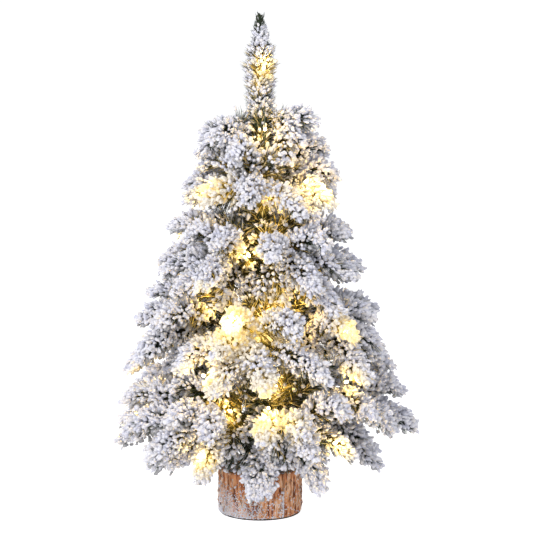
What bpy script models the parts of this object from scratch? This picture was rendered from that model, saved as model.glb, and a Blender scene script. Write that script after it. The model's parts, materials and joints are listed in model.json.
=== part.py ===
"""Flocked, pre-lit tabletop tree on a bark-wrapped base with a battery bay in its underside.

Metres, +Z up. The origin is the centre of the base's underside, and -Y is the front.
The tree is built as it is made: a weighted base, a pole, a tape wrap that holds the
branch wires to the pole, five tiers of branches, and a light lead on the longer branches.
Every branch hangs on a hinge at its root, where its wire bends when the tree is folded up.
"""

from math import atan2, cos, hypot, pi, radians, sin, tau

import bmesh
import bpy
from mathutils import Matrix, Vector

# ---------------------------------------------------------------- driving sizes
HEIGHT = 0.600
GAP = 0.0004                    # kept between neighbouring pieces

BASE_R = 0.0520
BASE_TOP = 0.0550
CORE_R = 0.0480
CORE_BOTTOM = 0.0024
CORE_TOP = 0.0520
FOOT_H = 0.0020
FOOT_INNER_R = 0.0425
BARK_LIP_R = 0.0360             # the bark is turned in over the core's top edge, to here

CELL_R = 0.0071                 # AA cells
CELL_LENGTH = 0.0500
CELL_PITCH = 0.0152
CELL_COUNT = 3
TRAY_X, TRAY_Y = 0.0594, 0.0494
TRAY_WALL = 0.0014
TRAY_BOTTOM, TRAY_TOP = 0.0050, 0.0222
BAY_TOP = 0.0285                # the bay is deeper than the tray, for the driver board

DOOR_X, DOOR_Y = 0.0640, 0.0516
DOOR_BOTTOM, DOOR_TOP = 0.0028, 0.0044
DOOR_AXIS_X, DOOR_AXIS_Z = -0.0318, 0.0036
DOOR_BARREL_R = 0.0010

SWITCH_Y = -0.0345
SWITCH_TRAVEL = 0.0040

POLE_R = 0.0040
POLE_BOTTOM, POLE_TOP = 0.0335, 0.4950
ROD_R = 0.0016                  # the pole's top is a thinner rod, inside the leader
ROD_TOP = 0.5860
WRAP_INNER_R, WRAP_OUTER_R = 0.0043, 0.0082
WRAP_BOTTOM, WRAP_TOP = 0.0565, 0.4900
LEAD_R = 0.0007
LEAD_ANGLE = radians(-80)       # the side of the trunk that the light lead climbs
LEAD_REACH = 0.0101             # from the trunk's axis to the lead's
BULB_R, BULB_LENGTH = 0.0021, 0.0075
TRUNK_BULB, LEADER_BULB = 0.4560, 0.5250        # heights of the two bulbs' feet
LEADER_BULB_REACH = 0.0072

ROOT_R = 0.0102                 # from the tree's axis to each branch's hinge
STEM_R = 0.0015
FOLIAGE_SPREAD = 0.36           # a branch's half width for each metre from its hinge
FOLIAGE_START = 0.20            # where the foliage begins, as a share of the branch's length
FOLIAGE_ROUNDING = 0.70         # from here on its outline rounds in to the tip
GROOVE_HALF_WIDTH = 0.0036      # open below, for the stem and the light lead
BRANCH_RISE, BRANCH_DROOP = radians(11), radians(-27)   # slope at the root and at the tip

# each tier: height of its roots, then its branches as (direction in degrees, height offset,
# length, the places of its bulbs along it from 0 at the hinge to 1 at the tip)
TIERS = (
    (0.1220, ((6, 0.004, 0.1750, ()), (80, -0.006, 0.1730, (0.40, 0.85)),
              (155, 0.006, 0.1830, (0.45, 0.88)), (225, -0.004, 0.1770, (0.25, 0.56)),
              (296, 0.000, 0.1790, (0.13, 0.62)))),
    (0.2140, ((258, 0.002, 0.1500, (0.30, 0.62)), (345, 0.010, 0.1480, (0.30, 0.66)),
              (75, -0.004, 0.1480, ()), (170, 0.006, 0.1540, (0.17, 0.80)))),
    (0.3040, ((302, 0.004, 0.1180, ()), (215, -0.006, 0.1210, (0.15, 0.70)),
              (122, 0.006, 0.1180, ()), (32, -0.004, 0.1210, ()))),
    (0.3900, ((262, 0.006, 0.0890, ()), (22, 0.012, 0.0920, (0.50, 0.85)),
              (142, -0.004, 0.0910, (0.52, 0.85)))),
    (0.4660, ((350, 0.006, 0.0660, ()), (194, -0.004, 0.0680, ()))),
)


# ---------------------------------------------------------------- helpers
def empty_scene():
    for thing in list(bpy.data.objects):
        bpy.data.objects.remove(thing)


def new_collection(name):
    collection = bpy.data.collections.new(name)
    bpy.context.scene.collection.children.link(collection)
    return collection


def material(name, colour, roughness, metallic=0.0):
    made = bpy.data.materials.new(name)
    made.use_nodes = True
    shader = made.node_tree.nodes["Principled BSDF"]
    shader.inputs["Base Color"].default_value = (*colour, 1.0)
    shader.inputs["Roughness"].default_value = roughness
    shader.inputs["Metallic"].default_value = metallic
    return made


def add_mesh(name, bm, finish=None, smooth=False):
    """The bmesh as an object in the tree's collection, or among the cutters if it has no finish."""
    bmesh.ops.recalc_face_normals(bm, faces=bm.faces)
    mesh = bpy.data.meshes.new(name)
    bm.to_mesh(mesh)
    bm.free()
    made = bpy.data.objects.new(name, mesh)
    if smooth:
        mesh.shade_smooth()
        mesh.set_sharp_from_angle(angle=radians(40))
    if finish:
        mesh.materials.append(material(name, *finish))
        TREE.objects.link(made)
    else:
        CUTTERS.objects.link(made)
        made.hide_render = True
        made.display_type = "WIRE"
    return made


def box(low, high):
    """A bmesh box between two corners."""
    bm = bmesh.new()
    bmesh.ops.create_cube(bm, size=1.0)
    low, high = Vector(low), Vector(high)
    bmesh.ops.scale(bm, vec=high - low, verts=bm.verts)
    bmesh.ops.translate(bm, vec=(low + high) / 2, verts=bm.verts)
    return bm


def rod(radius, bottom, top, segments, centre=(0.0, 0.0)):
    """A bmesh cylinder that stands on the Z axis or beside it."""
    bm = bmesh.new()
    place = Matrix.Translation((*centre, (bottom + top) / 2))
    bmesh.ops.create_cone(
        bm, cap_ends=True, segments=segments, radius1=radius, radius2=radius,
        depth=top - bottom, matrix=place,
    )
    return bm


def turned(profile, segments, close_axis=True):
    """A profile of (radius, height) points turned round the Z axis.

    With close_axis the first and last points are closed by flat or pointed caps; without
    it the profile is a loop, and the shape a ring.
    """
    bm = bmesh.new()
    rings = []
    for radius, height in profile:
        angles = [tau * k / segments for k in range(segments)]
        rings.append([bm.verts.new((radius * cos(a), radius * sin(a), height)) for a in angles])
    pairs = list(zip(rings, rings[1:]))
    if not close_axis:
        pairs.append((rings[-1], rings[0]))
    for lower, upper in pairs:
        for k in range(segments):
            n = (k + 1) % segments
            bm.faces.new((lower[k], lower[n], upper[n], upper[k]))
    if close_axis:
        bm.faces.new(rings[0])
        bm.faces.new(rings[-1])
    return bm


def cut(thing, *cutters, operation="DIFFERENCE"):
    """Boolean modifiers that take the cutters out of a thing, or join them to it."""
    for cutter in cutters:
        boolean = thing.modifiers.new(cutter.name, "BOOLEAN")
        boolean.operation = operation
        boolean.object = cutter


def wire(name, points, radii, finish, resolution=1):
    """A closed wire along points; radii scale its thickness, which makes the bulbs' swellings."""
    curve = bpy.data.curves.new(name, "CURVE")
    curve.dimensions = "3D"
    curve.bevel_depth = 1.0
    curve.bevel_resolution = resolution
    curve.use_fill_caps = True
    spline = curve.splines.new("POLY")
    spline.points.add(len(points) - 1)
    for point, place, radius in zip(spline.points, points, radii):
        point.co = (*place, 1.0)
        point.radius = radius
    curve.materials.append(material(name, *finish))
    made = bpy.data.objects.new(name, curve)
    TREE.objects.link(made)
    return made


# ---------------------------------------------------------------- finishes: colour, roughness, metallic
PLASTER = ((0.55, 0.50, 0.45), 0.9)
BARK = ((0.42, 0.20, 0.13), 0.9)
FELT = ((0.10, 0.10, 0.10), 1.0)
BLACK_PLASTIC = ((0.04, 0.04, 0.04), 0.45)
GREY_PLASTIC = ((0.60, 0.60, 0.60), 0.4)
CELL_LABEL = ((0.12, 0.13, 0.16), 0.35, 0.3)
BOARD_GREEN = ((0.05, 0.22, 0.10), 0.5)
STEEL = ((0.45, 0.45, 0.46), 0.35, 1.0)
GREEN_TAPE = ((0.06, 0.12, 0.06), 0.6)
GREEN_WIRE = ((0.10, 0.13, 0.09), 0.5)
LIGHT_LEAD = ((0.80, 0.76, 0.66), 0.4)
SNOW = ((0.86, 0.88, 0.92), 0.95)


# ---------------------------------------------------------------- base
def lead_foot():
    """Where the light lead leaves the base, seen from above."""
    return (LEAD_REACH * cos(LEAD_ANGLE), LEAD_REACH * sin(LEAD_ANGLE))


def make_base_core():
    """Weighted core: open bay and door recess below, switch slot, bores for the pole and the lead."""
    core = add_mesh("base_core", rod(CORE_R, CORE_BOTTOM, CORE_TOP, 48), PLASTER, smooth=True)
    half_x, half_y = TRAY_X / 2 + GAP, TRAY_Y / 2 + GAP
    bay = add_mesh("cut_bay", box((-half_x, -half_y, 0.0), (half_x, half_y, BAY_TOP)))
    low_x = DOOR_AXIS_X - DOOR_BARREL_R - 2 * GAP
    high_x = DOOR_AXIS_X + DOOR_X + GAP
    half_y = DOOR_Y / 2 + GAP
    recess = add_mesh("cut_door", box((low_x, -half_y, 0.0), (high_x, half_y, TRAY_BOTTOM)))
    slot = add_mesh(
        "cut_switch",
        box((-0.0078, SWITCH_Y - 0.0038, 0.0), (0.0078, SWITCH_Y + 0.0038, 0.0105)),
    )
    bore = add_mesh("cut_pole", rod(POLE_R + 0.0003, POLE_BOTTOM - 0.0003, CORE_TOP + 0.01, 24))
    way = add_mesh("cut_lead", rod(0.0012, BAY_TOP - 0.003, CORE_TOP + 0.01, 12, lead_foot()))
    cut(core, bay, recess, slot, bore, way)


def make_bark_wrap():
    """A sheet of bark wound round the core and turned in over its top, with a seam at the front."""
    inner, thick = CORE_R + GAP, BASE_R - CORE_R - GAP
    bottom, lip_bottom = FOOT_H + GAP, CORE_TOP + GAP
    profile = [
        (inner, bottom), (inner + 0.6 * thick, bottom), (inner + thick, bottom + 0.004),
        (inner + thick, 0.020), (inner + 0.85 * thick, 0.034), (inner + thick, 0.046),
        (inner + 0.7 * thick, BASE_TOP - 0.001), (inner - 0.3 * thick, BASE_TOP),
        (BARK_LIP_R, BASE_TOP - 0.0006), (BARK_LIP_R, lip_bottom), (inner, lip_bottom),
    ]
    bm = turned(profile, 60, close_axis=False)
    for vert in bm.verts:
        radius = hypot(vert.co.x, vert.co.y)
        if radius > inner + 0.1 * thick:
            angle = atan2(vert.co.y, vert.co.x)
            ridge = 0.5 * sin(15 * angle + 60 * vert.co.z) + 0.5 * sin(26 * angle - 35 * vert.co.z)
            vert.co.xy *= 1 + 0.0055 * ridge
    bark = add_mesh("bark_wrap", bm, BARK, smooth=True)
    bm = box((BARK_LIP_R - 0.004, -0.0007, 0.0), (BASE_R + 0.004, 0.0007, BASE_TOP + 0.004))
    bmesh.ops.rotate(bm, verts=bm.verts, matrix=Matrix.Rotation(radians(-64), 3, "Z"))
    cut(bark, add_mesh("cut_bark_seam", bm))


def make_foot_pad():
    profile = [
        (FOOT_INNER_R, 0.0), (CORE_R + 0.0006, 0.0), (CORE_R + 0.0010, 0.0004),
        (CORE_R + 0.0010, FOOT_H), (FOOT_INNER_R, FOOT_H),
    ]
    add_mesh("foot_pad", turned(profile, 48, close_axis=False), FELT, smooth=True)


# ---------------------------------------------------------------- battery bay
def make_battery_tray():
    half_x, half_y = TRAY_X / 2, TRAY_Y / 2
    tray = add_mesh(
        "battery_tray", box((-half_x, -half_y, TRAY_BOTTOM), (half_x, half_y, TRAY_TOP)),
        BLACK_PLASTIC,
    )
    inside = (half_x - TRAY_WALL, half_y - TRAY_WALL)
    room = add_mesh(
        "cut_tray",
        box((-inside[0], -inside[1], 0.0), (inside[0], inside[1], TRAY_TOP - TRAY_WALL)),
    )
    cut(tray, room)


def make_cells():
    """Cells side by side, turned about in turn, with the positive cap as a smaller step."""
    middle = TRAY_BOTTOM + 0.0006 + CELL_R
    half = CELL_LENGTH / 2
    profile = [
        (CELL_R - 0.0006, -half), (CELL_R, -half + 0.0006), (CELL_R, half - 0.0018),
        (CELL_R - 0.0007, half - 0.0012), (0.0027, half - 0.0012), (0.0026, half),
    ]
    for number in range(CELL_COUNT):
        turn = Matrix.Rotation(pi / 2 if number % 2 else -pi / 2, 4, "Y")
        side = (number - (CELL_COUNT - 1) / 2) * CELL_PITCH
        cell = add_mesh(f"battery_{number + 1}", turned(profile, 20), CELL_LABEL, smooth=True)
        cell.matrix_world = Matrix.Translation((0.0, side, middle)) @ turn


def make_battery_door():
    """A lid hinged on its -X edge, with a grip ridge under the other."""
    hinge = Vector((DOOR_AXIS_X, 0.0, DOOR_AXIS_Z))
    low = Vector((0.0003, -DOOR_Y / 2, DOOR_BOTTOM - DOOR_AXIS_Z))
    high = Vector((DOOR_X, DOOR_Y / 2, DOOR_TOP - DOOR_AXIS_Z))
    door = add_mesh("battery_door", box(low, high), BLACK_PLASTIC)
    door.location = hinge
    bm = bmesh.new()
    bmesh.ops.create_cone(
        bm, cap_ends=True, segments=16, radius1=DOOR_BARREL_R, radius2=DOOR_BARREL_R,
        depth=0.030, matrix=Matrix.Rotation(pi / 2, 4, "X"),
    )
    barrel = add_mesh("join_barrel", bm)
    ridge_low = (DOOR_X - 0.0060, -0.009, low.z - 0.0012)
    ridge_high = (DOOR_X - 0.0044, 0.009, low.z + 0.0004)
    ridge = add_mesh("join_ridge", box(ridge_low, ridge_high))
    for joined in (barrel, ridge):
        joined.location = hinge
    cut(door, barrel, ridge, operation="UNION")


def make_switch():
    """A slider with a knob that reaches down to a fingertip, at the end of its travel marked on."""
    start = -SWITCH_TRAVEL / 2
    flange = add_mesh(
        "switch_slider",
        box((-0.0042, -0.0032, 0.0062), (0.0042, 0.0032, 0.0078)), GREY_PLASTIC,
    )
    knob = add_mesh("join_knob", box((-0.0022, -0.0020, 0.0026), (0.0022, 0.0020, 0.0066)))
    for joined in (flange, knob):
        joined.location = (start, SWITCH_Y, 0.0)
    cut(flange, knob, operation="UNION")


def make_driver_board():
    """The light driver and timer above the tray: a board with its chip and its capacitor."""
    bottom = TRAY_TOP + GAP
    board = add_mesh(
        "driver_board", box((-0.0240, -0.0030, bottom), (-0.0040, 0.0150, bottom + 0.0014)),
        BOARD_GREEN,
    )
    chip = add_mesh(
        "join_chip", box((-0.0200, 0.0030, bottom + 0.0010), (-0.0140, 0.0080, bottom + 0.0030))
    )
    drum = add_mesh(
        "join_drum", rod(0.0022, bottom + 0.0010, bottom + 0.0052, 12, (-0.0080, 0.0105))
    )
    cut(board, chip, drum, operation="UNION")


# ---------------------------------------------------------------- trunk and leader
def make_trunk():
    profile = [(POLE_R, POLE_BOTTOM), (POLE_R, POLE_TOP), (ROD_R, POLE_TOP + 0.003), (ROD_R, ROD_TOP)]
    add_mesh("trunk_pole", turned(profile, 16), STEEL, smooth=True)
    profile = [
        (WRAP_INNER_R, WRAP_BOTTOM), (WRAP_OUTER_R, WRAP_BOTTOM + 0.001),
        (WRAP_OUTER_R, WRAP_TOP - 0.001), (WRAP_INNER_R, WRAP_TOP),
    ]
    add_mesh("trunk_wrap", turned(profile, 16, close_axis=False), GREEN_TAPE, smooth=True)


def make_leader():
    """The upright brush at the top, open below and hollow round its rod and the lead's bulbs."""
    foot, room = WRAP_TOP + 0.004, 0.0104
    outside = [
        (0.0135, foot), (0.0195, foot + 0.009), (0.0215, 0.520), (0.0205, 0.536),
        (0.0150, 0.549), (0.0140, 0.566), (0.0095, 0.583), (0.0030, HEIGHT),
    ]
    leader = add_mesh("leader_foliage", turned(outside, 16), SNOW, smooth=True)
    hollow = [(room, foot - 0.002), (room, 0.556), (0.0030, ROD_TOP + 0.003)]
    cut(leader, add_mesh("cut_leader", turned(hollow, 16)))


def bulb_marks(middle, half):
    """(place, radius) along a lead where it swells into a bulb."""
    swell = 0.7 * half
    return [
        (middle - half, LEAD_R), (middle - swell, BULB_R),
        (middle + swell, BULB_R), (middle + half, LEAD_R),
    ]


def make_trunk_lead():
    """The lead climbs the front of the trunk, with a bulb under the leader and one inside it."""
    side = Vector((cos(LEAD_ANGLE), sin(LEAD_ANGLE), 0.0))
    half = BULB_LENGTH / 2
    marks = [(height, LEAD_R) for height in (TRAY_TOP + GAP, 0.110, 0.200, 0.290, 0.370, 0.430)]
    marks += bulb_marks(TRUNK_BULB + half, half)
    marks += [(WRAP_TOP - 0.0020, LEAD_R), (WRAP_TOP + 0.0030, LEAD_R), (0.510, LEAD_R)]
    marks += bulb_marks(LEADER_BULB + half, half)
    points = []
    for height, _ in marks:
        reach = LEAD_REACH if height < WRAP_TOP else LEADER_BULB_REACH
        if TRUNK_BULB <= height <= TRUNK_BULB + BULB_LENGTH:
            reach += BULB_R - LEAD_R
        points.append(side * reach + Vector((0, 0, height)))
    wire("trunk_lead", points, [radius for _, radius in marks], LIGHT_LEAD)


# ---------------------------------------------------------------- branches
def branch_point(length, t):
    """A point of a branch's line in its own frame, +X outwards: it rises, then droops.

    t runs from 0 at the hinge to 1 at the tip. The slope changes evenly, so the line is an arc.
    """
    steps = 24
    place = Vector((0.0, 0.0, 0.0))
    for k in range(steps):
        slope = BRANCH_RISE + (BRANCH_DROOP - BRANCH_RISE) * t * (k + 0.5) / steps
        place += Vector((cos(slope), 0.0, sin(slope))) * (length * t / steps)
    return place


def branch_slope(t):
    return BRANCH_RISE + (BRANCH_DROOP - BRANCH_RISE) * t


def set_on_tree(thing, height, direction):
    """Puts a piece modelled in the branch frame on its hinge."""
    turn = Matrix.Rotation(radians(direction), 4, "Z")
    thing.matrix_world = turn @ Matrix.Translation((ROOT_R, 0.0, height)) @ thing.matrix_world


def make_stem(name, length, height, direction):
    count = 9
    points = [branch_point(length, 0.93 * k / (count - 1)) for k in range(count)]
    set_on_tree(wire(name, points, [STEM_R] * count, GREEN_WIRE), height, direction)


def foliage_section(width, half_height):
    """Half a branch's outline across its line, as (side, height) from the groove to the top."""
    groove_top = 0.0030
    half_groove = min(GROOVE_HALF_WIDTH, 0.55 * width)
    return [
        (half_groove, groove_top), (half_groove, -half_height), (0.80 * width, -0.75 * half_height),
        (width, -0.1 * half_height), (0.80 * width, 0.60 * half_height),
        (0.40 * width, half_height),
    ]


def make_foliage(name, length, height, direction):
    """A branch's flocked mass: a flattened lobe along its line, grooved below for the stem."""
    bm = bmesh.new()
    rings = []
    for t in (FOLIAGE_START, 0.28, 0.42, 0.56, FOLIAGE_ROUNDING, 0.82, 0.91, 0.97, 1.0):
        past = max(0.0, (t - FOLIAGE_ROUNDING) / (1.0 - FOLIAGE_ROUNDING))
        taper = (1.0 - 0.93 * past**2) ** 0.5
        width = FOLIAGE_SPREAD * length * t * taper + 0.0020
        full_height = 0.0120 + 0.046 * length
        half_height = full_height * min(1.0, 0.35 + 0.90 * t) * (0.30 + 0.70 * taper)
        side = foliage_section(width, half_height)
        outline = side + [(-x, z) for x, z in reversed(side)]
        centre, slope = branch_point(length, t), branch_slope(t)
        up = Vector((-sin(slope), 0.0, cos(slope)))
        rings.append([bm.verts.new(centre + Vector((0, x, 0)) + up * z) for x, z in outline])
    for inner, outer in zip(rings, rings[1:]):
        for k in range(len(inner)):
            n = (k + 1) % len(inner)
            bm.faces.new((inner[k], inner[n], outer[n], outer[k]))
    bm.faces.new(rings[0])
    bm.faces.new(rings[-1])
    set_on_tree(add_mesh(name, bm, SNOW, smooth=True), height, direction)


def make_branch_lead(name, length, height, direction, bulbs):
    """A branch's part of the light string, just under its stem."""
    below = STEM_R + BULB_R + GAP
    half = BULB_LENGTH / 2 / length
    end = max(bulbs) + half
    marks = [
        (t, LEAD_R) for t in (0.06, 0.20, 0.33, 0.46, 0.60, 0.73)
        if t < end and all(abs(t - bulb) > 1.5 * half for bulb in bulbs)
    ]
    for bulb in bulbs:
        marks += bulb_marks(bulb, half)
    marks.sort()
    points = []
    for t, _ in marks:
        slope = branch_slope(t)
        points.append(branch_point(length, t) - Vector((-sin(slope), 0.0, cos(slope))) * below)
    piece = wire(name, points, [radius for _, radius in marks], LIGHT_LEAD)
    set_on_tree(piece, height, direction)


def make_branches():
    number = 0
    for tier_height, branches in TIERS:
        for direction, offset, length, bulbs in branches:
            number += 1
            place = (length, tier_height + offset, direction)
            make_stem(f"branch_{number:02d}_stem", *place)
            make_foliage(f"branch_{number:02d}_foliage", *place)
            if bulbs:
                make_branch_lead(f"branch_{number:02d}_lead", *place, bulbs)


# ---------------------------------------------------------------- the tree
empty_scene()
TREE = new_collection("tabletop_tree")
CUTTERS = new_collection("cutters")
make_base_core()
make_bark_wrap()
make_foot_pad()
make_battery_tray()
make_cells()
make_battery_door()
make_switch()
make_driver_board()
make_trunk()
make_leader()
make_trunk_lead()
make_branches()
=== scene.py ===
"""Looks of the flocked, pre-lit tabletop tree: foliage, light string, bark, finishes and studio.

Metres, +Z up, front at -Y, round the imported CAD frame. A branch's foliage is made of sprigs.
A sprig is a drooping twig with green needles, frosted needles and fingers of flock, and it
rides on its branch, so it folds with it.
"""

import json
from math import atan2, cos, degrees, radians, sin, tau

import bpy
import numpy as np
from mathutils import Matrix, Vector


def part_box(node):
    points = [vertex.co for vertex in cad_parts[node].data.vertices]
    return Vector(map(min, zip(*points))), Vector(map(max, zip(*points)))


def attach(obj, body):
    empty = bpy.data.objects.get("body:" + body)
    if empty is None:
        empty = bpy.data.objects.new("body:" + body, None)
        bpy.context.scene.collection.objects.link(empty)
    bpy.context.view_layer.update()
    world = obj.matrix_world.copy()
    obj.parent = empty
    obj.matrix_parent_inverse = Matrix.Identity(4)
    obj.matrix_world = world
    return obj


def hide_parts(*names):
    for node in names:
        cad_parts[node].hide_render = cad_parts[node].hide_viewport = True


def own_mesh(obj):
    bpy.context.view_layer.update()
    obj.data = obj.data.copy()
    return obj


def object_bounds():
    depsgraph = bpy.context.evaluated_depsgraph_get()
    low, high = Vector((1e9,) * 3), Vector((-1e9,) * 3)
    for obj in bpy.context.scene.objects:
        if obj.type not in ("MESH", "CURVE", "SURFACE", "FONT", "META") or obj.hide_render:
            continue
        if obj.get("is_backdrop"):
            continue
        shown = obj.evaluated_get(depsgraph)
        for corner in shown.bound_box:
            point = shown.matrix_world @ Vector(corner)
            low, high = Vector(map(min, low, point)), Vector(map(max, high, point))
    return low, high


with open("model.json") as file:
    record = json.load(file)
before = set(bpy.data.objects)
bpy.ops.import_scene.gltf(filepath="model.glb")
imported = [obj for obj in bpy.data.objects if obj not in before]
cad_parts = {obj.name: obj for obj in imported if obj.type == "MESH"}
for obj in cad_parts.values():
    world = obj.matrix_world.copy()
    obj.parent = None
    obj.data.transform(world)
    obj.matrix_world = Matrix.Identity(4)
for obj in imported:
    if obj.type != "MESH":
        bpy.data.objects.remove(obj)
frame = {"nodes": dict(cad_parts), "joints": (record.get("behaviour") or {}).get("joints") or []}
CAD_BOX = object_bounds()
RNG = np.random.default_rng(24)
UP = np.array((0.0, 0.0, 1.0))
ROOT_BODY = "base"

# ---------------------------------------------------------------- driving values
STEM_SLOPES = radians(11), radians(-27)     # of a branch's line, at its hinge and at its tip
STEM_CHORD = 0.985                          # a branch's straight reach for each metre of wire
NEEDLE_R = 0.00042
FROSTED_R = 0.00062
FLOCK_R = 0.00205
WIRE_R = 0.0017                             # of a branch's two twisted wires together
TWIG_R, TWIG_TIP_R = 0.0011, 0.0006
FOLIAGE_ON_TWIG = 0.074                     # the outer length of a twig that carries foliage
TWIG_AHEAD = 0.078                          # from where a twig leaves the wire to its sprig's tip
TWIG_SHORT = 0.016                          # from the twig's end to its sprig's tip
WIRE_END = 0.62                             # where on a branch's line its wire ends
NEEDLE_MAX = 0.0265
FLOCK_LUMPS = 760                           # on a sprig of tier 1, before some are left out
LOOSE_GREENS = 125                          # on that sprig, besides the needles under the lumps
PALE_NEEDLES, PALE_WITH_FLOCK = 45, 40      # on that sprig, and how many more with all its flock
WIRE_GREENS, WIRE_PALES = 1500, 350         # needles for each metre of wire inside the tree
SHADED_UNDERSIDE = -0.50                           # lumps that point down more than this take the thin flock: thinner flock and painted shade
INNER_FLOCK = 0.05                          # how much of the flock the sheltered sprigs get
STRING_R = 0.0006
STRING_BELOW = 0.0028                       # how far under its wire a branch's string runs
BULB_R, BULB_LENGTH = 0.0017, 0.0060
SPAN_POINTS = 8                             # points of a smooth curve between two given ones
LEADER_FLOCK_R = 0.00175
TRUNK_FOLIAGE = 0.43                        # length of the trunk that has needles of its own
BARK_R, BARK_INNER_R, BARK_LIP_R = 0.0500, 0.0485, 0.0362
BARK_SKIN_R = 0.0495                        # where specks of flock sit on the bark
BARK_SEAM = radians(-57)

# each tier: the radius of its sprigs
SPRIG_R = {1: 0.0235, 2: 0.0235, 3: 0.0230, 4: 0.0215, 5: 0.0175}
TIER_OF = {number: tier for tier, numbers in {
    1: (1, 2, 3, 4, 5), 2: (6, 7, 8, 9), 3: (10, 11, 12, 13), 4: (14, 15, 16), 5: (17, 18),
}.items() for number in numbers}

# each branch: the tips of its outer sprigs, as (direction in degrees round the trunk, distance
# from the trunk's axis, height), and the share of the full flock where a sprig has less
SPRIGS = {
    1: ((2, 0.186, 0.096), (0, 0.170, 0.143), (345, 0.146, 0.064), (336, 0.172, 0.112),
        (25, 0.180, 0.098), (322, 0.168, 0.133), (20, 0.168, 0.142), (15, 0.146, 0.064)),
    2: ((80, 0.178, 0.094), (55, 0.180, 0.098), (104, 0.180, 0.096), (45, 0.168, 0.138),
        (70, 0.168, 0.140), (95, 0.168, 0.138), (48, 0.145, 0.064), (95, 0.144, 0.062)),
    3: ((160, 0.182, 0.094), (170, 0.162, 0.132), (148, 0.170, 0.138), (184, 0.169, 0.086),
        (130, 0.180, 0.098), (197, 0.136, 0.062), (122, 0.168, 0.138), (130, 0.144, 0.064),
        (162, 0.144, 0.062)),
    4: ((225, 0.178, 0.090), (249, 0.170, 0.122), (240, 0.140, 0.066), (205, 0.172, 0.112),
        (233, 0.166, 0.134), (222, 0.140, 0.076), (191, 0.164, 0.138), (212, 0.124, 0.158, 0.5),
        (250, 0.112, 0.088, 0.3)),
    5: ((291, 0.166, 0.100), (306, 0.165, 0.142), (287, 0.170, 0.126), (272, 0.172, 0.118),
        (267, 0.128, 0.047), (273, 0.122, 0.050), (300, 0.142, 0.054), (312, 0.160, 0.090, 0.45),
        (268, 0.078, 0.108, 0.2), (287, 0.108, 0.076, 0.12)),
    6: ((272, 0.157, 0.176), (250, 0.156, 0.172), (250, 0.146, 0.212), (254, 0.120, 0.236),
        (287, 0.140, 0.234), (299, 0.154, 0.184), (232, 0.150, 0.194)),
    7: ((345, 0.146, 0.206), (350, 0.137, 0.238), (325, 0.155, 0.176), (320, 0.144, 0.226),
        (5, 0.157, 0.172), (25, 0.154, 0.192), (12, 0.140, 0.236), (325, 0.087, 0.197, 0.5)),
    8: ((75, 0.155, 0.182), (50, 0.155, 0.186), (100, 0.155, 0.182), (60, 0.145, 0.226),
        (88, 0.145, 0.228), (35, 0.143, 0.232)),
    9: ((171, 0.162, 0.167), (177, 0.131, 0.262), (185, 0.144, 0.232), (203, 0.154, 0.196),
        (150, 0.155, 0.186), (126, 0.155, 0.184), (142, 0.144, 0.232), (115, 0.144, 0.229),
        (212, 0.142, 0.236), (206, 0.108, 0.180, 0.5), (138, 0.084, 0.190, 0.5),
        (216, 0.074, 0.192, 0.4), (194, 0.116, 0.176, 0.6)),
    10: ((302, 0.122, 0.282), (316, 0.131, 0.254), (278, 0.116, 0.320), (314, 0.110, 0.328),
         (337, 0.121, 0.290), (272, 0.074, 0.272, 0.25), (292, 0.080, 0.262, 0.35)),
    11: ((215, 0.120, 0.276), (243, 0.112, 0.330), (196, 0.119, 0.293), (188, 0.107, 0.342),
         (235, 0.124, 0.284), (218, 0.107, 0.334), (256, 0.062, 0.304, 0.25),
         (236, 0.084, 0.262, 0.4), (250, 0.058, 0.277, 0.3)),
    12: ((122, 0.123, 0.282), (150, 0.123, 0.280), (168, 0.121, 0.297), (95, 0.122, 0.284),
         (132, 0.109, 0.332), (103, 0.109, 0.335), (158, 0.108, 0.335)),
    13: ((32, 0.122, 0.275), (7, 0.122, 0.291), (15, 0.110, 0.334), (55, 0.122, 0.286),
         (45, 0.109, 0.330), (75, 0.122, 0.288), (74, 0.108, 0.333), (345, 0.108, 0.334)),
    14: ((261, 0.098, 0.380), (249, 0.082, 0.432), (299, 0.098, 0.366), (280, 0.076, 0.420, 0.3),
         (228, 0.094, 0.380), (270, 0.050, 0.452, 0.12), (190, 0.072, 0.412, 0.6)),
    15: ((22, 0.094, 0.380), (5, 0.091, 0.398), (333, 0.096, 0.374), (318, 0.090, 0.358, 0.8),
         (47, 0.094, 0.388), (72, 0.094, 0.378), (62, 0.080, 0.428), (15, 0.080, 0.428)),
    16: ((142, 0.094, 0.376), (172, 0.088, 0.390), (201, 0.092, 0.378), (115, 0.094, 0.383),
         (95, 0.080, 0.428), (140, 0.078, 0.428)),
    17: ((352, 0.065, 0.464), (304, 0.066, 0.424, 0.5), (330, 0.058, 0.444), (22, 0.062, 0.440),
         (58, 0.060, 0.438)),
    18: ((190, 0.074, 0.430), (216, 0.066, 0.446), (240, 0.062, 0.424), (172, 0.070, 0.450),
         (130, 0.060, 0.440), (93, 0.058, 0.444)),
}
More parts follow.
